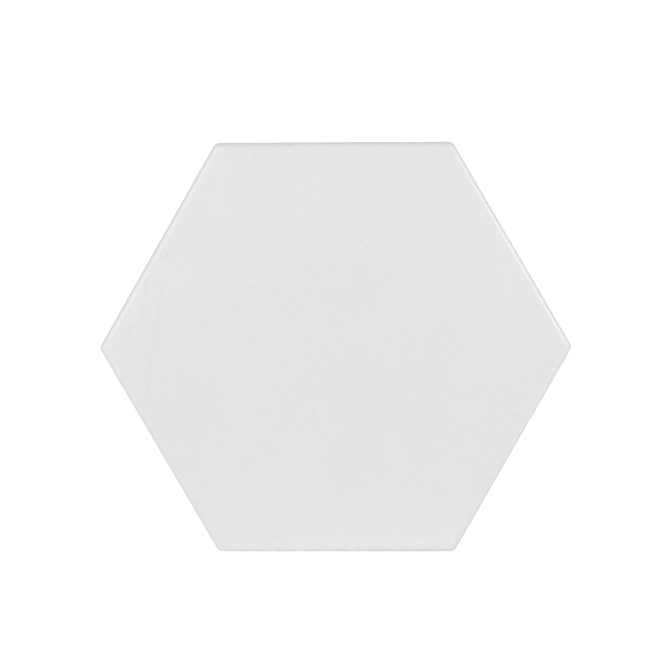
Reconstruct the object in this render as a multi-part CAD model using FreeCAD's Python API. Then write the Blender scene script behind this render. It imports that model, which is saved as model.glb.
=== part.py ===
import FreeCAD, Part
import math
import os

# Hexagon floor tile: one dry-pressed and fired ceramic tile, lying face up on its keyed back.
# It is a single solid, in millimetres. The origin is the centre of the plane that it rests on.
# +Z goes up through the face, +X runs through two opposite corners, and +Y is square to two sides.
#
# The rim has one section all the way round: a flat face that rolls over a soft arris, a wall that
# draws in towards the back, and a bevel at the back edge. The back has a honeycomb of shallow cells
# between ribs, which the adhesive keys into. The tile rests on the ribs and on the plain border.

# Plan and thickness
ACROSS_FLATS = 175.0
THICKNESS = 9.0

# Arris, the soft edge of the face. It starts to fall ARRIS_WIDTH in from the outline and is widest
# ARRIS_DROP below the face. A tight nose arc turns into the wall, and a slow one meets the face.
ARRIS_WIDTH = 2.8
ARRIS_DROP = 1.5
ARRIS_NOSE_RADIUS = 0.8
FACE_CORNER_RADIUS = 0.4

# Wall and back edge
WALL_DRAFT_DEG = 2.0
BACK_BEVEL = 0.8

# Keyed back. A cell is as wide as this at its mouth, in the plane that the tile rests on.
CELL_ACROSS_FLATS = 12.0
CELL_DEPTH = 0.6
CELL_DRAFT_DEG = 30.0
RIB_WIDTH = 2.0
BORDER_WIDTH = 6.5

# A cell's cutter starts this far below the back.
CUT_OVERLAP = 0.2

# The hexagon's turns, and the radius of its corners in plan
SIDES = 6
TURN_DEG = 360.0 / SIDES
HALF_TURN = math.radians(TURN_DEG / 2)
CORNER_RADIUS = FACE_CORNER_RADIUS + ARRIS_WIDTH

UP = FreeCAD.Vector(0, 0, 1)


def around(radius, angle_deg, z=0.0):
    """A point at this distance from the Z axis, turned this far from +X."""
    angle = math.radians(angle_deg)
    return FreeCAD.Vector(radius * math.cos(angle), radius * math.sin(angle), z)


def hexagon(radius, first_deg, z=0.0):
    """The corners of a level hexagon, this far from the Z axis and with the first one at first_deg."""
    return [around(radius, first_deg + k * TURN_DEG, z) for k in range(SIDES)]


def flat_face(corners):
    return Part.Face(Part.makePolygon(corners + corners[:1]))


def rim_section():
    """The rim's section in the XZ plane. X runs outwards from the axis that a corner is turned about.

    Returns the section's face and how far in from the outline the level back begins.
    """
    draft = math.radians(WALL_DRAFT_DEG)
    nose = ARRIS_NOSE_RADIUS
    widest_z = THICKNESS - ARRIS_DROP

    # The slow arc is level where it meets the face and tangent to the nose arc.
    run = ARRIS_WIDTH - nose
    slow = (run**2 + ARRIS_DROP**2 - nose**2) / (2 * (ARRIS_DROP - nose))
    slow_centre = FreeCAD.Vector(FACE_CORNER_RADIUS, 0, THICKNESS - slow)
    nose_centre = FreeCAD.Vector(CORNER_RADIUS - nose, 0, widest_z)
    meeting_angle = math.atan2(nose_centre.z - slow_centre.z, nose_centre.x - slow_centre.x)

    def on_arc(centre, radius, angle):
        return centre + FreeCAD.Vector(radius * math.cos(angle), 0, radius * math.sin(angle))

    face_end = FreeCAD.Vector(FACE_CORNER_RADIUS, 0, THICKNESS)
    slow_middle = on_arc(slow_centre, slow, (math.pi / 2 + meeting_angle) / 2)
    meeting = on_arc(nose_centre, nose, meeting_angle)
    nose_middle = on_arc(nose_centre, nose, (meeting_angle - draft) / 2)
    wall_top = on_arc(nose_centre, nose, -draft)

    wall_drop = wall_top.z - BACK_BEVEL
    wall_foot = FreeCAD.Vector(wall_top.x - wall_drop * math.tan(draft), 0, BACK_BEVEL)
    back_edge = FreeCAD.Vector(wall_foot.x - BACK_BEVEL, 0, 0)
    axis_foot = FreeCAD.Vector(0, 0, 0)
    axis_top = FreeCAD.Vector(0, 0, THICKNESS)

    edges = [
        Part.makeLine(axis_top, face_end),
        Part.Arc(face_end, slow_middle, meeting).toShape(),
        Part.Arc(meeting, nose_middle, wall_top).toShape(),
        Part.makeLine(wall_top, wall_foot),
        Part.makeLine(wall_foot, back_edge),
        Part.makeLine(back_edge, axis_foot),
        Part.makeLine(axis_foot, axis_top),
    ]
    return Part.Face(Part.Wire(edges)), CORNER_RADIUS - back_edge.x


def pressed_blank(section):
    """The tile with a plain back.

    It is a level core, with the rim's section run along each side and turned at each corner.
    """
    axis_radius = (ACROSS_FLATS / 2 - CORNER_RADIUS) / math.cos(HALF_TURN)
    corners = hexagon(axis_radius, 0)
    core = flat_face(corners).extrude(UP * THICKNESS)
    pieces = []
    for k, corner in enumerate(corners):
        corner_deg = k * TURN_DEG
        next_corner = corners[(k + 1) % SIDES]

        turned = section.copy()
        turned.rotate(FreeCAD.Vector(), UP, corner_deg - TURN_DEG / 2)
        turned.translate(corner)
        pieces.append(turned.revolve(corner, UP, TURN_DEG))

        straight = section.copy()
        straight.rotate(FreeCAD.Vector(), UP, corner_deg + TURN_DEG / 2)
        straight.translate(corner)
        pieces.append(straight.extrude(next_corner - corner))
    return core.multiFuse(pieces).removeSplitter()


def cell_cutter():
    """One cell of the keyed back, at the origin.

    It is a hexagonal frustum from just below the back to the cell's floor.
    """
    def outline_at(z):
        flank = CELL_ACROSS_FLATS / 2 - z * math.tan(math.radians(CELL_DRAFT_DEG))
        return hexagon(flank / math.cos(HALF_TURN), TURN_DEG / 2, z)

    mouth = outline_at(-CUT_OVERLAP)
    floor = outline_at(CELL_DEPTH)
    faces = [flat_face(mouth), flat_face(floor)]
    for k in range(SIDES):
        after = (k + 1) % SIDES
        faces.append(flat_face([mouth[k], mouth[after], floor[after], floor[k]]))
    return Part.Solid(Part.Shell(faces))


def honeycomb(back_inset):
    """The cutters of every whole cell that fits inside the border, in rings around the middle one."""
    pitch = CELL_ACROSS_FLATS + RIB_WIDTH
    ring_step = pitch * math.cos(HALF_TURN)
    cell_tip = CELL_ACROSS_FLATS / 2 / math.cos(HALF_TURN)
    room = ACROSS_FLATS / 2 - back_inset - BORDER_WIDTH - cell_tip
    rings = int(room // ring_step)
    cell = cell_cutter()
    cutters = []
    for i in range(-rings, rings + 1):
        for j in range(-rings, rings + 1):
            if abs(i + j) <= rings:
                cutters.append(cell.translated(around(pitch * i, 0) + around(pitch * j, TURN_DEG)))
    return Part.makeCompound(cutters)


def hexagon_tile():
    section, back_inset = rim_section()
    return pressed_blank(section).cut(honeycomb(back_inset))


os.makedirs("parts", exist_ok=True)
hexagon_tile().exportStep("parts/hexagon_tile.step")
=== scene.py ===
import math
import random

import bmesh
import bpy
from mathutils import Matrix, Vector, noise
from mathutils.geometry import delaunay_2d_cdt


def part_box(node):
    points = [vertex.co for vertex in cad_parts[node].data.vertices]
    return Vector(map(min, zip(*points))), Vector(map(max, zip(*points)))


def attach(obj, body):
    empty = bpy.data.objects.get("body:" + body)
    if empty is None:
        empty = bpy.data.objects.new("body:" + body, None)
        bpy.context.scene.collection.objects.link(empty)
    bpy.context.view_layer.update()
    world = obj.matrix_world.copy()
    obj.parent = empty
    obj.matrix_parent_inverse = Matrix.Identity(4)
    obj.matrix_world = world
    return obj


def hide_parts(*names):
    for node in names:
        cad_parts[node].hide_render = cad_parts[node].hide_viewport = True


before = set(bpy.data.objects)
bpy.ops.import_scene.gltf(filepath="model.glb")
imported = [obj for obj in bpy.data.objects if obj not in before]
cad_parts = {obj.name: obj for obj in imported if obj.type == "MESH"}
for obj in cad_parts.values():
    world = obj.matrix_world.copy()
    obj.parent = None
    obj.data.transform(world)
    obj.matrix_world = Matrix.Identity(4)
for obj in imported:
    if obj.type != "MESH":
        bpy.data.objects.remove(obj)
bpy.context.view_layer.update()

# A hexagon floor tile lies face up on its keyed back. One closed mesh stands for the whole tile:
# the glazed face with its pinholes, the soft arris, the wall with the glaze line, and the back.
# Everything is in metres. The X axis runs through two corners, and Z is up through the face.

MM = 0.001
NODE = "hexagon_tile"
PIECE = "glazed_hexagon_tile"
SIDES = 6
TURN = math.tau / SIDES
HALF_TURN = TURN / 2

# The tile's overall size is the frame's. Its outline lies a hair inside, so that no rounding passes it.
HAIR = 0.01 * MM
LOWEST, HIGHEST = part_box(NODE)
ACROSS_FLATS = HIGHEST.y - LOWEST.y - 2 * HAIR
THICKNESS = HIGHEST.z - LOWEST.z

# Rim section: a slow arc and a tight nose arc at the face's edge, a drafted wall and a back bevel
ARRIS_WIDTH = 2.8 * MM
ARRIS_DROP = 1.5 * MM
ARRIS_NOSE_RADIUS = 0.8 * MM
FACE_CORNER_RADIUS = 0.4 * MM
WALL_DRAFT = math.radians(2.0)
BACK_BEVEL = 0.8 * MM
CORNER_RADIUS = FACE_CORNER_RADIUS + ARRIS_WIDTH
CORNER_AXIS_RADIUS = (ACROSS_FLATS / 2 - CORNER_RADIUS) / math.cos(HALF_TURN)

# Keyed back: a honeycomb of shallow cells, each with a soft lip round its mouth
CELL_ACROSS_FLATS = 12.0 * MM
RIB_WIDTH = 2.0 * MM
CELL_PITCH = CELL_ACROSS_FLATS + RIB_WIDTH
CELL_DEPTH = 0.6 * MM
CELL_DRAFT = math.radians(30.0)
CELL_RINGS = 6
CELL_CORNER_RADIUS = 1.1 * MM
CELL_LIP = 0.16 * MM

# Loops of a cell, from just inside its mouth to its floor: how far out each lies as a share of the
# lip, how far in as a share of the flank's run, and how deep as a share of the cell's depth
CELL_LOOPS = [
    (0.45, 0.0, 0.03),
    (0.0, 0.0, 0.12),
    (0.0, 0.35, 0.4),
    (0.0, 0.85, 0.86),
    (0.0, 1.1, 0.965),
    (0.0, 1.6, 1.0),
]

# A triangle of the back is in a cell if its middle is inside this share of the lip.
MOUTH_SHARE = 0.98

# Face: slow waves in the glaze, each with its wavelength, its share of the depth, and the height at
# which it is read from the noise. They fade out over the last stretch before the face's edge.
WAVE_DEPTH = 0.02 * MM
WAVE_FADE = 12 * MM
FACE_WAVES = [(38 * MM, 0.7, 0.0), (15 * MM, 0.3, 0.1)]

# Glaze line: the glaze ends part of the way down the wall, at a height that wanders in long waves and
# short ones
GLAZE_LINE_HEIGHT = 5.3 * MM
GLAZE_LINE_WANDER = 0.55 * MM
LONG_WAVE = 26 * MM
LONG_WAVE_SHARE = 0.9
SHORT_WAVE = 6 * MM
SHORT_WAVE_SHARE = 0.35

# Glaze bead, loop by loop down the wall: its height above the glaze line and how proud of the wall it
# is, in mm, and the glaze mask. The bare wall under it lies deeper by the glaze's thickness.
GLAZE_THICKNESS = 0.12 * MM
GLAZE_BEAD = [
    (0.9, 0.0, 1.0),
    (0.45, 0.01, 1.0),
    (0.2, 0.03, 1.0),
    (0.06, 0.0, 1.0),
    (0.0, -0.06, 0.6),
    (-0.05, -GLAZE_THICKNESS / MM, 0.0),
    (-0.25, -GLAZE_THICKNESS / MM, 0.0),
]

# Bare wall: the heights of its loops
BARE_WALL_HEIGHTS = (3.6 * MM, 2.4 * MM)

# Both edges of the back bevel are rounded over this softness. Two shares of it place the middle and
# the end of a rounded edge.
BEVEL_SOFTNESS = 0.12 * MM
SOFT_EDGE_MIDDLE = 0.35
SOFT_EDGE_END = 1.15

# The bevel is worn in short waves, and the wear fades out this far past it.
BEVEL_WEAR = 0.05 * MM
BEVEL_WEAR_WAVE = 4 * MM
BEVEL_WEAR_FADE = 3 * BEVEL_SOFTNESS

# Mesh density, and the limits below which points are one and triangles are slivers
FACE_STEPS = 84
CORNER_STEPS = 8
SLOW_ARC_STEPS = 9
NOSE_ARC_STEPS = 8
CELL_CORNER_STEPS = 4
MERGE_DISTANCE_MM = 1e-6
SLIVER_HEIGHT_MM = 0.002

# Seeds of what is random, and how far apart two seeds lie in the noise
PINHOLE_SEED = 11
LONG_WAVE_SEED = 1
SHORT_WAVE_SEED = 2
BEVEL_WEAR_SEED = 3
SEED_STEP = 7.3

# Pinholes and dimples of the face that show most in the photograph: x, y and diameter in mm, and how
# strong each is
SEEN_PINHOLES = [
    (-9.5, -26.5, 1.15, 1.6),
    (11.5, 45.5, 1.15, 0.9),
    (-36.0, 26.0, 1.45, 0.7),
    (44.5, -45.5, 1.15, 0.75),
    (-62.0, -47.0, 1.15, 1.0),
    (-80.5, -3.0, 1.6, 0.75),
    (-34.0, 73.0, 1.8, 0.5),
    (-36.5, 79.5, 1.8, 0.3),
    (49.5, -17.0, 1.8, 0.45),
    (29.5, -3.5, 1.8, 0.2),
    (21.5, -51.5, 1.3, 0.4),
    (-20.0, 53.5, 1.8, 0.3),
    (-41.5, 3.0, 1.45, 0.5),
    (-87.5, -5.5, 1.45, 0.65),
    (-74.5, -14.0, 1.3, 0.45),
    (58.0, -21.0, 1.3, 0.3),
    (66.0, 24.0, 1.45, 0.25),
    (44.0, 45.0, 1.6, 0.3),
    (-21.5, 80.5, 1.6, 0.35),
    (-33.5, 81.5, 1.8, 0.5),
    (-45.5, 70.5, 1.6, 0.65),
    (-37.5, 75.0, 1.8, 0.35),
    (31.0, 54.5, 1.45, 0.6),
    (39.5, 52.0, 1.45, 0.45),
    (-9.0, -18.5, 1.6, 0.4),
    (-34.5, -59.0, 1.3, 0.35),
]

# Smaller pinholes, scattered over the face: how many, their least and greatest diameter in mm, their
# strength, and how far the middle of one stays from every other pinhole's and from the face's edge
SMALL_PINHOLES = 90
SMALL_PINHOLE_DIAMETERS = (0.4, 0.8)
SMALL_PINHOLE_STRENGTH = 0.6
PINHOLE_CLEARANCE = 3 * MM

# A pinhole of strength 1 is this share of its diameter deep. Its soft rim reaches out to this share of
# its radius, and the face's net keeps this share of its pitch clear of the rim.
PINHOLE_DEPTH_SHARE = 0.09
PINHOLE_RIM = 1.35
NET_CLEARANCE = 0.3

# Rings of points round a pinhole, from its rim in: how many points, the ring's share of the radius, and
# how deep and how dark the pinhole is there. The darkness is partly dirt and partly painted shade in the
# pit.
PINHOLE_RINGS = [
    (12, PINHOLE_RIM, 0.0, 0.0),
    (12, 1.0, 0.1, 0.2),
    (12, 0.7, 0.5, 0.55),
    (6, 0.35, 0.9, 0.9),
]

# Faint streaks in the glaze near the left corner: centre x and y, half length, half width and bow,
# in mm, the lean of the streak in degrees from the Y axis, and how strong it is
STREAKS = [
    (-75.8, 12.8, 18.0, 2.4, 0.2, 8.7, 0.9),
    (-80.2, -14.0, 9.5, 2.3, 0.0, 4.0, 0.8),
    (-81.5, 21.0, 11.0, 1.4, -0.4, 10.0, 0.95),
    (-89.1, 4.7, 6.5, 2.6, 0.4, 17.0, 0.75),
    (-86.6, 1.8, 4.5, 1.8, 0.0, 4.0, 0.6),
    (-57.2, 8.9, 5.0, 1.8, 0.3, 32.0, 0.85),
]
STREAK_WANDER = 1.6 * MM

# Broad soft patches of painted light and shade on the face, greyer where above 0 and paler where below
# 0. They are paler towards the bottom side, the top and the upper right, and greyer at the lower left
# and the middle. The last three are small smudges in the glaze. Each has a centre x and y, a half length
# along X and along Y, in mm, and a strength. Each has no end along Z.
PAINTED_LIGHT_PATCHES_AND_SMUDGES = [
    (25.0, -92.0, 110.0, 42.0, -0.14),
    (0.0, 75.0, 115.0, 45.0, -0.015),
    (-82.0, -34.0, 55.0, 42.0, 0.08),
    (-12.0, -5.0, 70.0, 70.0, 0.04),
    (80.0, 40.0, 50.0, 50.0, -0.04),
    (-80.0, -16.5, 1.5, 1.3, 0.14),
    (-71.5, 39.0, 2.0, 1.6, 0.25),
    (77.0, -29.0, 2.1, 2.0, 0.13),
]

# Small marks on the arris: centre x, y and how far below the face, half length along X and half width,
# in mm, and how strong it is. Four are pale, below 0, and lift the arris's painted shade where the thin
# glaze of one side is interrupted. The two above 0 are dark specks.
ARRIS_SPECKS_AND_SHADE_GAPS = [
    (7.3, -86.9, 0.7, 3.0, 1.0, -0.45),
    (-5.1, -86.9, 0.7, 3.4, 1.0, -0.26),
    (-15.4, -86.9, 0.7, 3.6, 1.0, -0.48),
    (-27.9, -86.9, 0.7, 3.8, 1.0, -0.55),
    (36.9, -87.3, 1.0, 1.6, 0.8, 0.5),
    (-19.1, 86.5, 0.4, 0.5, 0.5, 1.1),
]

# Noises of the glaze and of the body: the size of their features, detail and roughness
GLAZE_CLOUD = (28 * MM, 2.0, 0.5)
GLAZE_MOTTLE = (2.4 * MM, 3.0, 0.6)
GLAZE_SMUDGES = (4.6 * MM, 2.0, 0.5)
GLAZE_FINE = (0.7 * MM, 2.0, 0.5)
STREAK_SWAY = (9 * MM, 1.0, 0.5)
STREAK_GAPS = (4.5 * MM, 2.0, 0.5)
OVERSPRAY = (0.35 * MM, 2.0, 0.5)
BODY_CLOUD = (18 * MM, 3.0, 0.5)
BODY_GRAIN = (0.35 * MM, 3.0, 0.65)
WASH_PATCHES = (7 * MM, 4.0, 0.65)

# Specks: the size of their cells, their radius, and the share of the cells that have one. A speck is
# even out to this share of its radius, and fades from there.
GLAZE_SPECKS = (5 * MM, 0.62 * MM, 0.5)
GLAZE_DUST = (2.6 * MM, 0.4 * MM, 0.35)
BODY_PITS = (1.3 * MM, 0.2 * MM, 0.4)
BODY_GRIT = (3.0 * MM, 0.16 * MM, 0.35)
SPECK_CORE_SHARE = 0.3

# Colours: the glaze and the body each go from a pale one at shade 0 to a dark one at shade 1.
GLAZE_PALE = (0.848, 0.848, 0.848, 1.0)
GLAZE_DARK = (0.63, 0.63, 0.63, 1.0)
BODY_PALE = (0.78, 0.755, 0.71, 1.0)
BODY_DARK = (0.60, 0.56, 0.50, 1.0)
GRIT_COLOUR = (0.28, 0.25, 0.22, 1.0)
WASH_COLOUR = (0.83, 0.825, 0.81, 1.0)

# How much each layer adds to the shade, and how far the grit covers the body's colour
CLOUD_SHADE = 0.14
MOTTLE_SHADE = 0.22
SPECK_SHADE = 0.11
DUST_SHADE = 0.07
SMUDGE_SHADE = 0.1
STREAK_SHADE = 0.14
# Pinholes darken partly for dirt and partly as painted shade in the pit.
PINHOLE_DIRT_AND_PAINTED_SHADE = 0.5
BODY_CLOUD_SHADE = 0.25
PIT_SHADE = 0.3
GRIT_COVER = 0.7

# How much streaks and pinholes add to the roughness, and how high each layer stands where it is full
STREAK_ROUGHNESS = 0.06
PINHOLE_ROUGHNESS = 0.2
MOTTLE_HEIGHT = 0.010 * MM
FINE_HEIGHT = 0.002 * MM
STREAK_HEIGHT = -0.004 * MM
GRAIN_HEIGHT = 0.05 * MM
PIT_HEIGHT = -0.06 * MM

# Ramps over a noise or a mask: its values where the ramp starts and ends, and the results there
SMUDGE_RAMP = (0.6, 0.77, 0.0, 1.0)
STREAK_GAP_RAMP = (0.35, 0.62, 0.45, 1.0)
STREAK_END_RAMP = (0.6, 1.0, 1.0, 0.0)
GLAZE_ROUGHNESS_RAMP = (0.3, 0.7, 0.29, 0.35)
OVERSPRAY_RAMP = (0.98, 1.1, 0.0, 0.8)
BODY_SHADE_RAMP = (0.25, 0.75, 0.1, 0.45)
BODY_ROUGHNESS_RAMP = (0.3, 0.7, 0.82, 0.95)
WASH_RAMP = (0.42, 0.62, 0.0, 0.75)

# Ramps over the height. The patches of painted light and shade, and the smudges, fade out below the
# face. The glaze gets thin over the arris, and the rim is darkened there, partly for the thinner glaze
# and partly as painted shade. The two sides square to the Y axis get more painted shade on the arris.
# Overspray thins out below the glaze line. Kiln wash is on the lowest surface only.
ON_FACE_RAMP = (THICKNESS - 0.55 * MM, THICKNESS, 0.0, 1.0)
THIN_GLAZE_AND_PAINTED_SHADE_RAMP = (THICKNESS - 1.2 * MM, THICKNESS - 0.2 * MM, 0.11, 0.0)
END_SIDES_PAINTED_SHADE_RAMP = (THICKNESS - 0.75 * MM, THICKNESS - 0.2 * MM, 0.13, 0.0)
OVERSPRAY_REACH_RAMP = (3.4 * MM, GLAZE_LINE_HEIGHT, 0.0, 0.62)
LOWEST_RAMP = (0.01 * MM, 0.1 * MM, 1.0, 0.0)

# Ramp over the distance from the X axis, which finds the arris of those two sides
END_SIDES_RAMP = (ACROSS_FLATS / 2 - ARRIS_WIDTH, ACROSS_FLATS / 2 - ARRIS_WIDTH / 2, 0.0, 1.0)

# Studio: the plain light from all round, the floor, and how its glow rises with the distance from
# the tile
WHITE = (1.0, 1.0, 1.0, 1.0)
AMBIENT = 0.25
FLOOR_GREY = (0.5, 0.5, 0.5, 1.0)
FLOOR_HALF_SIDE = 3.0
FLOOR_GLOW_RAMP = (0.3, 1.5, 0.78, 1.0)

# Softboxes: azimuth from +X towards +Y and elevation in degrees, the side in metres and the power in
# watts. All stand this far from the tile.
SOFTBOX_DISTANCE = 1.3
SOFTBOXES = {
    "left_key": (160.0, 54.0, 0.9, 7.5),
    "right_key": (22.0, 46.0, 0.4, 4.9),
    "front_fill": (240.0, 25.0, 0.9, 4.3),
    "right_fill": (345.0, 30.0, 0.9, 3.4),
}

# Photograph: a long lens almost straight above the tile
IMAGE_SIDE_PX = 665
SENSOR_SIDE_MM = 36.0
FOCAL_LENGTH_PX = 4147.2
CAMERA_PLACE = Vector((0.0988, 0.1159, 1.7709))
CAMERA_AIM = Vector((-0.00103, 0.00637, 0.0075))
CAMERA_ROLL = math.radians(-0.171)


def around(radius, angle, height=0.0):
    """A point at this distance from the Z axis, turned this far from +X."""
    return Vector((radius * math.cos(angle), radius * math.sin(angle), height))


def smooth_step(low, high, value):
    share = min(max((value - low) / (high - low), 0.0), 1.0)
    return share * share * (3 - 2 * share)


def as_share(value):
    """Turns a value from -1 to 1 into one from 0 to 1."""
    return 0.5 + 0.5 * value


class Outline:
    """The places round the tile that every loop of its rim runs through.

    Each place has a base on the hexagon through the corner axes and a direction outwards from it.
    A corner has several places with one base, because the direction turns there.
    """

    def __init__(self):
        self.bases = []
        self.directions = []
        corners = [around(CORNER_AXIS_RADIUS, k * TURN) for k in range(SIDES)]
        for k, corner in enumerate(corners):
            for step in range(CORNER_STEPS + 1):
                self.bases.append(corner)
                turn = k * TURN - HALF_TURN + TURN * step / CORNER_STEPS
                self.directions.append(around(1.0, turn))
            following = corners[(k + 1) % SIDES]
            for step in range(1, FACE_STEPS):
                self.bases.append(corner.lerp(following, step / FACE_STEPS))
                self.directions.append(around(1.0, k * TURN + HALF_TURN))

    def loop(self, reach, height):
        """The loop's points, at this distance out from their bases. Both values may be one per place."""
        count = len(self.bases)
        reaches = reach if isinstance(reach, list) else [reach] * count
        heights = height if isinstance(height, list) else [height] * count
        points = []
        for base, direction, out, z in zip(self.bases, self.directions, reaches, heights):
            points.append(Vector((base.x + direction.x * out, base.y + direction.y * out, z)))
        return points

    def wander(self, wavelength, seed):
        """A smooth random value from about -1 to 1 for each place, the same where the loop closes."""
        offset = Vector((0.0, 0.0, seed * SEED_STEP))
        points = self.loop(CORNER_RADIUS, 0.0)
        return [noise.noise(point / wavelength + offset) for point in points]


class TileMesh:
    """Vertices, faces and the masks that the material reads, gathered before the mesh is made."""

    def __init__(self):
        self.points = []
        self.faces = []
        self.masks = {"glaze": [], "pinhole": []}

    def add(self, points, glaze, pinhole=0.0):
        """Adds points and returns their numbers."""
        first = len(self.points)
        self.points.extend(points)
        self.masks["glaze"].extend([glaze] * len(points))
        self.masks["pinhole"].extend([pinhole] * len(points))
        return list(range(first, len(self.points)))

    def bridge(self, ring, other):
        """Faces between two closed loops with as many places. A place that repeats gives a triangle."""
        for k in range(len(ring)):
            after = (k + 1) % len(ring)
            corners = [ring[k], ring[after], other[after], other[k]]
            corners = list(dict.fromkeys(corners))
            if len(corners) > 2:
                self.faces.append(corners)

    def carry_on(self, ring, points, glaze):
        """Adds a loop of points and the faces between it and the last loop. Returns its numbers."""
        following = self.add(points, glaze)
        self.bridge(ring, following)
        return following

    def fan(self, ring, centre):
        for k in range(len(ring)):
            self.faces.append([ring[k], ring[(k + 1) % len(ring)], centre])

    def make(self, name):
        mesh = bpy.data.meshes.new(name)
        mesh.from_pydata(self.points, [], self.faces)
        for mask, values in self.masks.items():
            attribute = mesh.attributes.new(mask, "FLOAT", "POINT")
            attribute.data.foreach_set("value", values)
        shell = bmesh.new()
        shell.from_mesh(mesh)
        bmesh.ops.recalc_face_normals(shell, faces=shell.faces)
        shell.to_mesh(mesh)
        shell.free()
        mesh.shade_smooth()
        return mesh


def filled(points, edges=()):
    """Delaunay triangles over points in a plane, as triples of places in the list, without slivers."""
    flat = [point.to_2d() / MM for point in points]
    _, _, triangles, sources, _, _ = delaunay_2d_cdt(flat, list(edges), [], 0, MERGE_DISTANCE_MM)
    kept = []
    for triangle in triangles:
        a, b, c = (sources[corner][0] for corner in triangle)
        sides = (flat[b] - flat[a], flat[c] - flat[b], flat[a] - flat[c])
        height = abs(sides[0].cross(sides[1])) / max(side.length for side in sides)
        if height > SLIVER_HEIGHT_MM:
            kept.append((a, b, c))
    return kept


def arc_points(centre, radius, first, last, steps):
    """(reach, height) pairs along an arc of the rim's section, without its first point."""
    pairs = []
    for step in range(1, steps + 1):
        angle = first + (last - first) * step / steps
        pairs.append((centre[0] + radius * math.cos(angle), centre[1] + radius * math.sin(angle)))
    return pairs


def arris_section():
    """(reach, height) pairs from the face's edge over both arcs to the top of the wall."""
    run = ARRIS_WIDTH - ARRIS_NOSE_RADIUS
    drop = ARRIS_DROP - ARRIS_NOSE_RADIUS
    slow = (run**2 + ARRIS_DROP**2 - ARRIS_NOSE_RADIUS**2) / (2 * drop)
    slow_centre = (FACE_CORNER_RADIUS, THICKNESS - slow)
    nose_centre = (CORNER_RADIUS - ARRIS_NOSE_RADIUS, THICKNESS - ARRIS_DROP)
    meeting = math.atan2(nose_centre[1] - slow_centre[1], nose_centre[0] - slow_centre[0])
    pairs = [(FACE_CORNER_RADIUS, THICKNESS)]
    pairs += arc_points(slow_centre, slow, math.pi / 2, meeting, SLOW_ARC_STEPS)
    pairs += arc_points(nose_centre, ARRIS_NOSE_RADIUS, meeting, -WALL_DRAFT, NOSE_ARC_STEPS)
    return pairs


def face_edge_distance(point):
    """How far inside the hexagon through the corner axes a point of the face is."""
    apothem = CORNER_AXIS_RADIUS * math.cos(HALF_TURN)
    sides = [around(1.0, HALF_TURN + k * TURN) for k in range(SIDES)]
    return apothem - max(side.x * point.x + side.y * point.y for side in sides)


def glaze_wave(point):
    """How far the glaze lies below the face's plane here, in slow waves that fade at the face's edge."""
    wave = 0.0
    for wavelength, share, height in FACE_WAVES:
        wave += share * noise.noise(Vector((point.x, point.y, height)) / wavelength)
    return WAVE_DEPTH * as_share(wave) * smooth_step(0.0, WAVE_FADE, face_edge_distance(point))


def pinholes():
    """(place, radius, strength) of every pinhole. The small ones are scattered, clear of the rest."""
    holes = []
    for x, y, diameter, strength in SEEN_PINHOLES:
        holes.append((Vector((x, y, 0.0)) * MM, diameter * MM / 2, strength))
    draw = random.Random(PINHOLE_SEED)
    while len(holes) < len(SEEN_PINHOLES) + SMALL_PINHOLES:
        place = around(CORNER_AXIS_RADIUS * math.sqrt(draw.random()), draw.random() * math.tau)
        radius = draw.uniform(*SMALL_PINHOLE_DIAMETERS) * MM / 2
        clear = all((place - other).length > PINHOLE_CLEARANCE for other, _, _ in holes)
        if clear and face_edge_distance(place) > PINHOLE_CLEARANCE:
            holes.append((place, radius, SMALL_PINHOLE_STRENGTH))
    return holes


def pinhole_points(place, radius, strength):
    """(place, depth, mark) for each point of a round dimple: its rings, and one at the bottom.

    Each ring is turned by half a step more than the one round it.
    """
    depth = 2 * radius * PINHOLE_DEPTH_SHARE * strength
    points = []
    for number, (count, share, sunk, mark) in enumerate(PINHOLE_RINGS):
        for k in range(count):
            turn = math.tau * (k + 0.5 * number) / count
            points.append((place + around(radius * share, turn), depth * sunk, mark * strength))
    points.append((place, depth, strength))
    return points


def near_pinhole(place, holes, pitch):
    gap = NET_CLEARANCE * pitch
    return any((place - hole).length < PINHOLE_RIM * radius + gap for hole, radius, _ in holes)


def rounded_key(point):
    """A point's x and y in mm, to a thousandth, by which a point of the face's edge is found."""
    return (round(point.x / MM, 3), round(point.y / MM, 3))


def face_net(holes):
    """Points of an even net over the face, clear of the pinholes, and its edge's numbers by key."""
    pitch = CORNER_AXIS_RADIUS / FACE_STEPS
    places = []
    edge_numbers = {}
    for i in range(-FACE_STEPS, FACE_STEPS + 1):
        for j in range(-FACE_STEPS, FACE_STEPS + 1):
            if abs(i + j) > FACE_STEPS:
                continue
            place = around(pitch * i, 0) + around(pitch * j, TURN)
            if max(abs(i), abs(j), abs(i + j)) == FACE_STEPS:
                edge_numbers[rounded_key(place)] = len(places)
            elif near_pinhole(place, holes, pitch):
                continue
            places.append(place)
    return places, edge_numbers


def build_face(tile, outline):
    """The glazed face: a net of triangles, closer round each pinhole. Returns its edge's numbers."""
    holes = pinholes()
    net, edge_numbers = face_net(holes)
    points = [(place, 0.0, 0.0) for place in net]
    for hole in holes:
        points += pinhole_points(*hole)

    first = len(tile.points)
    for place, depth, mark in points:
        height = THICKNESS - glaze_wave(place) - depth
        tile.add([Vector((place.x, place.y, height))], 1.0, mark)
    for triangle in filled([place for place, _, _ in points]):
        tile.faces.append([first + corner for corner in triangle])
    return [first + edge_numbers[rounded_key(base)] for base in outline.bases]


def glaze_line(outline):
    """The height of the glaze line at each place of the outline."""
    long = outline.wander(LONG_WAVE, LONG_WAVE_SEED)
    short = outline.wander(SHORT_WAVE, SHORT_WAVE_SEED)
    heights = []
    for a, b in zip(long, short):
        wander = GLAZE_LINE_WANDER * (LONG_WAVE_SHARE * a + SHORT_WAVE_SHARE * b)
        heights.append(GLAZE_LINE_HEIGHT + wander)
    return heights


def wall_reach(wall_top, height):
    """How far out the drafted wall is at this height. The wall's top is a (reach, height) pair."""
    top_reach, top_height = wall_top
    return top_reach - (top_height - height) * math.tan(WALL_DRAFT)


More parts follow.
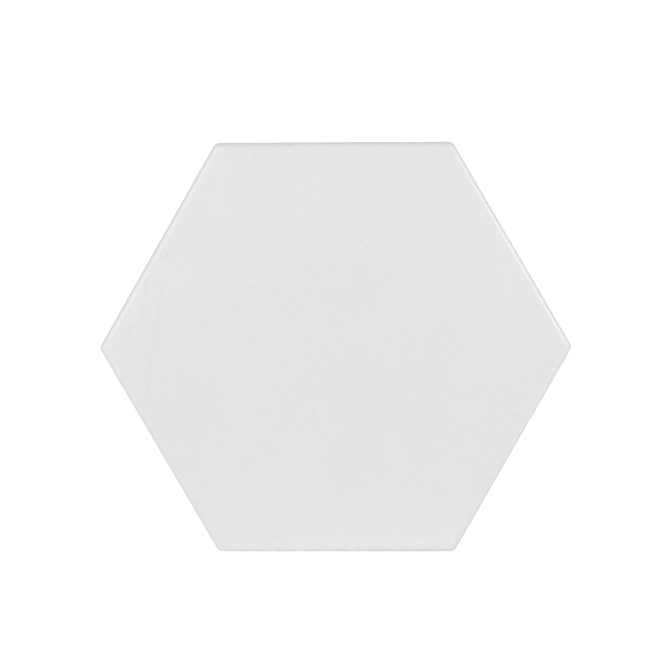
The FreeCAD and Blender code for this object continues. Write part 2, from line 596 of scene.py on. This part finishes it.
def bare_wall_section():
    """(height, how far in from the drafted wall, wear) down the bare wall and round the back bevel."""
    soft = BEVEL_SOFTNESS
    middle = soft * SOFT_EDGE_MIDDLE
    end = soft * SOFT_EDGE_END
    section = [(height, 0.0, 0.0) for height in BARE_WALL_HEIGHTS]
    section += [
        (BACK_BEVEL + BEVEL_WEAR_FADE, 0.0, 0.0),
        (BACK_BEVEL + soft, 0.0, BEVEL_WEAR),
        (BACK_BEVEL, middle, BEVEL_WEAR),
        (BACK_BEVEL - soft, end, BEVEL_WEAR),
        (BACK_BEVEL / 2, BACK_BEVEL / 2, BEVEL_WEAR),
        (soft, BACK_BEVEL - end, BEVEL_WEAR),
        (middle, BACK_BEVEL - middle, BEVEL_WEAR),
        (0.0, BACK_BEVEL + soft, BEVEL_WEAR),
        (0.0, BACK_BEVEL + BEVEL_WEAR_FADE, 0.0),
    ]
    return section


def build_rim(tile, outline, face_edge):
    """The arris, the wall with its glaze bead, and the back bevel. Returns the back edge's numbers."""
    ring = face_edge
    section = arris_section()
    for reach, height in section:
        ring = tile.carry_on(ring, outline.loop(reach, height), 1.0)

    wall_top = section[-1]
    line = glaze_line(outline)
    for above, proud, mask in GLAZE_BEAD:
        heights = [z + above * MM for z in line]
        reaches = [wall_reach(wall_top, z) + proud * MM for z in heights]
        ring = tile.carry_on(ring, outline.loop(reaches, heights), mask)

    wear_waves = outline.wander(BEVEL_WEAR_WAVE, BEVEL_WEAR_SEED)
    for height, inset, wear in bare_wall_section():
        reach = wall_reach(wall_top, height) - GLAZE_THICKNESS - inset
        reaches = [reach - wear * as_share(wave) for wave in wear_waves]
        ring = tile.carry_on(ring, outline.loop(reaches, height), 0.0)
    return ring


def rounded_hexagon(apothem, corner_radius):
    """Points of a hexagon with rounded corners, its flats square to the X axis."""
    points = []
    axis = (apothem - corner_radius) / math.cos(HALF_TURN)
    for k in range(SIDES):
        corner = around(axis, HALF_TURN + k * TURN)
        for step in range(CELL_CORNER_STEPS + 1):
            turn = k * TURN + TURN * step / CELL_CORNER_STEPS
            points.append(corner + around(corner_radius, turn))
    return points


def cell_centres():
    centres = []
    for i in range(-CELL_RINGS, CELL_RINGS + 1):
        for j in range(-CELL_RINGS, CELL_RINGS + 1):
            if abs(i + j) <= CELL_RINGS:
                centres.append(around(CELL_PITCH * i, 0) + around(CELL_PITCH * j, TURN))
    return centres


def inside_a_cell(point, centres):
    nearest = min(centres, key=lambda centre: (centre - point).length_squared)
    offset = point - nearest
    flats = [around(1.0, k * TURN) for k in range(SIDES)]
    return max(offset.dot(flat) for flat in flats) < CELL_ACROSS_FLATS / 2 + CELL_LIP * MOUTH_SHARE


def build_cell(tile, centre, mouth):
    """A cell's soft lip, sloping flanks and floor, in from its mouth."""
    flank_run = CELL_DEPTH * math.tan(CELL_DRAFT)
    ring = mouth
    for lip_share, run_share, depth_share in CELL_LOOPS:
        out = CELL_LIP * lip_share - flank_run * run_share
        lift = Vector((0.0, 0.0, CELL_DEPTH * depth_share))
        points = rounded_hexagon(CELL_ACROSS_FLATS / 2 + out, CELL_CORNER_RADIUS + out)
        ring = tile.carry_on(ring, [centre + point + lift for point in points], 0.0)
    middle = tile.add([centre + Vector((0.0, 0.0, CELL_DEPTH))], 0.0)[0]
    tile.fan(ring, middle)


def build_back(tile, back_edge):
    """The flat ribs and border of the back, with a shallow cell in each of the honeycomb's places."""
    points = [tile.points[number].copy() for number in back_edge]
    numbers = list(back_edge)
    edges = [(k, (k + 1) % len(points)) for k in range(len(points))]
    mouth = rounded_hexagon(CELL_ACROSS_FLATS / 2 + CELL_LIP, CELL_CORNER_RADIUS + CELL_LIP)
    centres = cell_centres()
    mouths = []
    for centre in centres:
        ring = tile.add([centre + point for point in mouth], 0.0)
        start = len(points)
        edges += [(start + k, start + (k + 1) % len(ring)) for k in range(len(ring))]
        points += [centre + point for point in mouth]
        numbers += ring
        mouths.append(ring)
    for a, b, c in filled(points, edges):
        middle = (points[a] + points[b] + points[c]) / 3
        if not inside_a_cell(middle, centres):
            tile.faces.append([numbers[a], numbers[b], numbers[c]])
    for centre, ring in zip(centres, mouths):
        build_cell(tile, centre, ring)


def build_tile():
    outline = Outline()
    tile = TileMesh()
    face_edge = build_face(tile, outline)
    back_edge = build_rim(tile, outline, face_edge)
    build_back(tile, back_edge)
    piece = bpy.data.objects.new(PIECE, tile.make(PIECE))
    bpy.context.scene.collection.objects.link(piece)
    return piece


def add_node(tree, kind, inputs=None, **settings):
    """Adds a node. An input that is a socket is linked, and any other is set as a value."""
    node = tree.nodes.new(kind)
    for name, value in settings.items():
        setattr(node, name, value)
    for name, value in (inputs or {}).items():
        if isinstance(value, bpy.types.NodeSocket):
            tree.links.new(value, node.inputs[name])
        else:
            node.inputs[name].default_value = value
    return node


def maths(tree, operation, *values):
    """A Math node's result."""
    node = add_node(tree, "ShaderNodeMath", dict(enumerate(values)), operation=operation)
    return node.outputs["Value"]


def vector_maths(tree, operation, *values, output="Vector"):
    """A Vector Math node's result."""
    node = add_node(tree, "ShaderNodeVectorMath", dict(enumerate(values)), operation=operation)
    return node.outputs[output]


def added(tree, values):
    """The sum of several values."""
    total = 0.0
    for value in values:
        total = maths(tree, "ADD", value, total)
    return total


def weighted_sum(tree, terms, start=0.0):
    """The start plus each value times its weight. A weight may vary over the surface too."""
    total = start
    for value, weight in terms:
        total = maths(tree, "MULTIPLY_ADD", value, weight, total)
    return total


def ramp(tree, value, low, high, at_low, at_high):
    """A result that goes smoothly from one value to the other as the input goes from low to high."""
    inputs = {"Value": value, "From Min": low, "From Max": high, "To Min": at_low, "To Max": at_high}
    node = add_node(tree, "ShaderNodeMapRange", inputs, interpolation_type="SMOOTHSTEP")
    return node.outputs["Result"]


def noise_value(tree, place, size, detail, roughness):
    """Noise from 0 to 1, about 0.5 on average, with features of this size."""
    inputs = {"Vector": place, "Scale": 1 / size, "Detail": detail, "Roughness": roughness}
    return add_node(tree, "ShaderNodeTexNoise", inputs).outputs["Fac"]


def mix_values(tree, factor, first, second):
    """Goes from the first value to the second as the factor goes from 0 to 1."""
    node = add_node(tree, "ShaderNodeMix", {0: factor, 2: first, 3: second}, data_type="FLOAT")
    return node.outputs[0]


def mix_colours(tree, factor, first, second):
    """Goes from the first colour to the second as the factor goes from 0 to 1, and no further."""
    node = add_node(tree, "ShaderNodeMix", {0: factor, 6: first, 7: second}, data_type="RGBA")
    return node.outputs[2]


def speck_mask(tree, place, cell, radius, share):
    """Specks scattered one to a cell at most, in this share of the cells."""
    inputs = {"Vector": place, "Scale": 1 / cell, "Randomness": 1.0}
    voronoi = add_node(tree, "ShaderNodeTexVoronoi", inputs, feature="F1")
    distance = voronoi.outputs["Distance"]
    dot = ramp(tree, distance, SPECK_CORE_SHARE * radius / cell, radius / cell, 1.0, 0.0)
    drawn = add_node(tree, "ShaderNodeSeparateColor", {"Color": voronoi.outputs["Color"]})
    chosen = maths(tree, "LESS_THAN", drawn.outputs["Red"], share)
    return maths(tree, "MULTIPLY", dot, chosen)


def soft_spot(tree, place, centre, half_sizes, strength):
    """A soft spot: strongest at its centre, and gone this far from it along each axis."""
    offset = vector_maths(tree, "SUBTRACT", place, centre)
    scaled = vector_maths(tree, "MULTIPLY", offset, [1 / half_size for half_size in half_sizes])
    distance = vector_maths(tree, "LENGTH", scaled, output="Value")
    return ramp(tree, distance, 0.0, 1.0, strength, 0.0)


def all_painted_light_patches_and_smudges(tree, place):
    """Every broad patch of painted light and shade on the face, and every small smudge, added up."""
    spots = []
    for x, y, half_x, half_y, strength in PAINTED_LIGHT_PATCHES_AND_SMUDGES:
        centre = (x * MM, y * MM, 0.0)
        half_sizes = (half_x * MM, half_y * MM, math.inf)
        spots.append(soft_spot(tree, place, centre, half_sizes, strength))
    return added(tree, spots)


def all_arris_specks_and_shade_gaps(tree, place):
    """Every dark speck on the arris, and every pale spot where its painted shade is lifted, added up."""
    spots = []
    for x, y, below, half_length, half_width, strength in ARRIS_SPECKS_AND_SHADE_GAPS:
        centre = (x * MM, y * MM, THICKNESS - below * MM)
        half_sizes = (half_length * MM, half_width * MM, half_width * MM)
        spots.append(soft_spot(tree, place, centre, half_sizes, strength))
    return added(tree, spots)


def streak_mask(tree, across_place, along_place, streak):
    """One faint streak of the glaze: strongest on its bowed centre line, and fading to its ends."""
    x, y, half_length, half_width, bow, lean, strength = streak
    turn = math.radians(lean)
    from_x = maths(tree, "SUBTRACT", across_place, x * MM)
    from_y = maths(tree, "SUBTRACT", along_place, y * MM)
    along = weighted_sum(tree, [(from_y, math.cos(turn)), (from_x, math.sin(turn))])
    share = maths(tree, "DIVIDE", along, half_length * MM)
    square = maths(tree, "MULTIPLY", share, share)
    terms = [(from_x, math.cos(turn)), (from_y, -math.sin(turn)), (square, -bow * MM)]
    off_line = maths(tree, "ABSOLUTE", weighted_sum(tree, terms))
    core = ramp(tree, off_line, 0.0, half_width * MM, strength, 0.0)
    ends = ramp(tree, square, *STREAK_END_RAMP)
    return maths(tree, "MULTIPLY", core, ends)


def all_streaks(tree, place, axes):
    """Every streak of the glaze. They sway together and are broken up along their length."""
    sway = noise_value(tree, place, *STREAK_SWAY)
    sway = maths(tree, "MULTIPLY_ADD", sway, STREAK_WANDER, -STREAK_WANDER / 2)
    swayed = maths(tree, "ADD", sway, axes["X"])
    streaks = added(tree, [streak_mask(tree, swayed, axes["Y"], streak) for streak in STREAKS])
    gaps = ramp(tree, noise_value(tree, place, *STREAK_GAPS), *STREAK_GAP_RAMP)
    return maths(tree, "MULTIPLY", streaks, gaps)


def arris_thin_glaze_and_painted_shade(tree, axes):
    """The body's shade through the thin glaze of the arris, partly real and partly painted shade that
    darkens the rim, with more painted shade on the two sides square to the Y axis.
    """
    thin_glaze_and_shade = ramp(tree, axes["Z"], *THIN_GLAZE_AND_PAINTED_SHADE_RAMP)
    painted_end_shade = ramp(tree, axes["Z"], *END_SIDES_PAINTED_SHADE_RAMP)
    end_sides = ramp(tree, maths(tree, "ABSOLUTE", axes["Y"]), *END_SIDES_RAMP)
    return maths(tree, "MULTIPLY_ADD", painted_end_shade, end_sides, thin_glaze_and_shade)


def glaze_layer(tree, place, axes, pinhole):
    """Colour, roughness and height in metres of the satin glaze."""
    cloud = noise_value(tree, place, *GLAZE_CLOUD)
    mottle = noise_value(tree, place, *GLAZE_MOTTLE)
    fine = noise_value(tree, place, *GLAZE_FINE)
    specks = speck_mask(tree, place, *GLAZE_SPECKS)
    dust = speck_mask(tree, place, *GLAZE_DUST)
    smudges = ramp(tree, noise_value(tree, place, *GLAZE_SMUDGES), *SMUDGE_RAMP)
    streaks = all_streaks(tree, place, axes)
    on_face = ramp(tree, axes["Z"], *ON_FACE_RAMP)
    shades = [
        (cloud, CLOUD_SHADE),
        # Broad patches of painted light and shade, and small smudges, on the face only.
        (all_painted_light_patches_and_smudges(tree, place), on_face),
        (mottle, MOTTLE_SHADE),
        (specks, SPECK_SHADE),
        (dust, DUST_SHADE),
        (smudges, SMUDGE_SHADE),
        (streaks, STREAK_SHADE),
        # Dark specks on the arris, and pale spots that lift its painted shade.
        (all_arris_specks_and_shade_gaps(tree, place), 1.0),
        # Pinholes: partly dirt, partly painted shade in the pit.
        (pinhole, PINHOLE_DIRT_AND_PAINTED_SHADE),
    ]
    # The shade starts from the thin glaze of the arris and the painted shade of the rim.
    shade = weighted_sum(tree, shades, arris_thin_glaze_and_painted_shade(tree, axes))
    colour = mix_colours(tree, shade, GLAZE_PALE, GLAZE_DARK)

    rougher = [(streaks, STREAK_ROUGHNESS), (pinhole, PINHOLE_ROUGHNESS)]
    roughness = weighted_sum(tree, rougher, ramp(tree, mottle, *GLAZE_ROUGHNESS_RAMP))
    heights = [(mottle, MOTTLE_HEIGHT), (fine, FINE_HEIGHT), (streaks, STREAK_HEIGHT)]
    return colour, roughness, weighted_sum(tree, heights)


def kiln_wash(tree, place, axes):
    """A thin white powder on what touched the kiln's rollers, which is the ribs and the border."""
    patches = ramp(tree, noise_value(tree, place, *WASH_PATCHES), *WASH_RAMP)
    lowest = ramp(tree, axes["Z"], *LOWEST_RAMP)
    return maths(tree, "MULTIPLY", patches, lowest)


def body_layer(tree, place, axes):
    """Colour, roughness and height in metres of the bare, dry-pressed body."""
    cloud = noise_value(tree, place, *BODY_CLOUD)
    grain = noise_value(tree, place, *BODY_GRAIN)
    pits = speck_mask(tree, place, *BODY_PITS)
    grit = speck_mask(tree, place, *BODY_GRIT)
    shades = [(cloud, BODY_CLOUD_SHADE), (pits, PIT_SHADE)]
    shade = weighted_sum(tree, shades, ramp(tree, grain, *BODY_SHADE_RAMP))
    colour = mix_colours(tree, shade, BODY_PALE, BODY_DARK)
    colour = mix_colours(tree, maths(tree, "MULTIPLY", grit, GRIT_COVER), colour, GRIT_COLOUR)
    colour = mix_colours(tree, kiln_wash(tree, place, axes), colour, WASH_COLOUR)

    roughness = ramp(tree, grain, *BODY_ROUGHNESS_RAMP)
    return colour, roughness, weighted_sum(tree, [(grain, GRAIN_HEIGHT), (pits, PIT_HEIGHT)])


def overspray(tree, place, axes):
    """How far specks of glaze cover the wall just below the glaze line."""
    reach = ramp(tree, axes["Z"], *OVERSPRAY_REACH_RAMP)
    spray = maths(tree, "ADD", noise_value(tree, place, *OVERSPRAY), reach)
    return ramp(tree, spray, *OVERSPRAY_RAMP)


def ceramic_material():
    """White satin glaze where the glaze mask is 1, and the bare pressed body where it is 0."""
    material = bpy.data.materials.new("glazed_ceramic")
    material.use_nodes = True
    tree = material.node_tree
    place = add_node(tree, "ShaderNodeTexCoord").outputs["Object"]
    split = add_node(tree, "ShaderNodeSeparateXYZ", {"Vector": place})
    axes = {name: split.outputs[name] for name in "XYZ"}
    glaze = add_node(tree, "ShaderNodeAttribute", attribute_name="glaze").outputs["Fac"]
    pinhole = add_node(tree, "ShaderNodeAttribute", attribute_name="pinhole").outputs["Fac"]

    glaze_colour, glaze_roughness, glaze_relief = glaze_layer(tree, place, axes, pinhole)
    body_colour, body_roughness, body_relief = body_layer(tree, place, axes)
    cover = maths(tree, "MAXIMUM", glaze, overspray(tree, place, axes))
    colour = mix_colours(tree, cover, body_colour, glaze_colour)
    roughness = mix_values(tree, cover, body_roughness, glaze_roughness)
    relief = mix_values(tree, cover, body_relief, glaze_relief)
    bump = add_node(tree, "ShaderNodeBump", {"Height": relief, "Strength": 1.0, "Distance": 1.0})

    shader = tree.nodes["Principled BSDF"]
    tree.links.new(colour, shader.inputs["Base Color"])
    tree.links.new(roughness, shader.inputs["Roughness"])
    tree.links.new(bump.outputs["Normal"], shader.inputs["Normal"])
    return material


def light_path_share(tree):
    """1 for what the camera, a reflection or glass sees, and 0 for the light that falls on the tile."""
    path = add_node(tree, "ShaderNodeLightPath").outputs
    seen = maths(tree, "MAXIMUM", path["Is Camera Ray"], path["Is Glossy Ray"])
    return maths(tree, "MAXIMUM", seen, path["Is Transmission Ray"])


def white_world():
    """White as seen, with a little plain light from all round."""
    world = bpy.data.worlds.new("studio")
    world.use_nodes = True
    tree = world.node_tree
    strength = mix_values(tree, light_path_share(tree), AMBIENT, 1.0)
    background = tree.nodes["Background"]
    background.inputs["Color"].default_value = WHITE
    tree.links.new(strength, background.inputs["Strength"])
    bpy.context.scene.world = world


def floor_material():
    """A grey that takes the tile's shadow, with a glow that makes it show white."""
    material = bpy.data.materials.new("floor")
    material.use_nodes = True
    tree = material.node_tree
    tree.nodes.remove(tree.nodes["Principled BSDF"])
    own = add_node(tree, "ShaderNodeBsdfDiffuse", {"Color": FLOOR_GREY})
    place = add_node(tree, "ShaderNodeTexCoord").outputs["Object"]
    distance = vector_maths(tree, "LENGTH", place, output="Value")
    seen_glow = ramp(tree, distance, *FLOOR_GLOW_RAMP)
    strength = maths(tree, "MULTIPLY", light_path_share(tree), seen_glow)
    glow = add_node(tree, "ShaderNodeEmission", {"Color": WHITE, "Strength": strength})
    both = add_node(tree, "ShaderNodeAddShader", {0: own.outputs[0], 1: glow.outputs[0]})
    tree.links.new(both.outputs[0], tree.nodes["Material Output"].inputs["Surface"])
    return material


def studio_floor():
    """A pale floor that shows white, with the tile's soft shadow on it."""
    half = FLOOR_HALF_SIDE
    mesh = bpy.data.meshes.new("floor")
    corners = [(-half, -half, 0), (half, -half, 0), (half, half, 0), (-half, half, 0)]
    mesh.from_pydata(corners, [], [(0, 1, 2, 3)])
    mesh.materials.append(floor_material())
    floor = bpy.data.objects.new("floor", mesh)
    bpy.context.scene.collection.objects.link(floor)


def softbox(name, azimuth, elevation, side, power):
    """A square soft light that points at the tile."""
    data = bpy.data.lights.new(name, "AREA")
    data.shape = "SQUARE"
    data.size = side
    data.energy = power
    lamp = bpy.data.objects.new(name, data)
    rise = math.radians(elevation)
    away = around(math.cos(rise), math.radians(azimuth), math.sin(rise))
    lamp.location = away * SOFTBOX_DISTANCE
    lamp.rotation_mode = "QUATERNION"
    lamp.rotation_quaternion = away.to_track_quat("Z", "Y")
    bpy.context.scene.collection.objects.link(lamp)


def add_camera():
    """The photograph's camera. Its X axis is level, apart from the roll."""
    back = (CAMERA_PLACE - CAMERA_AIM).normalized()
    level = Vector((math.cos(CAMERA_ROLL), math.sin(CAMERA_ROLL), 0.0))
    right = (level - back * level.dot(back)).normalized()
    up = back.cross(right)
    data = bpy.data.cameras.new("camera")
    data.sensor_width = SENSOR_SIDE_MM
    data.lens = FOCAL_LENGTH_PX / IMAGE_SIDE_PX * SENSOR_SIDE_MM
    camera = bpy.data.objects.new("camera", data)
    camera.matrix_world = Matrix((right, up, back)).transposed().to_4x4()
    camera.location = CAMERA_PLACE
    bpy.context.scene.collection.objects.link(camera)
    bpy.context.scene.camera = camera


bpy.context.scene.view_settings.view_transform = "Standard"
add_camera()
white_world()
for name, setting in SOFTBOXES.items():
    softbox(name, *setting)
studio_floor()

tile = build_tile()
tile.data.materials.append(ceramic_material())
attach(tile, "root")
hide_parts(NODE)
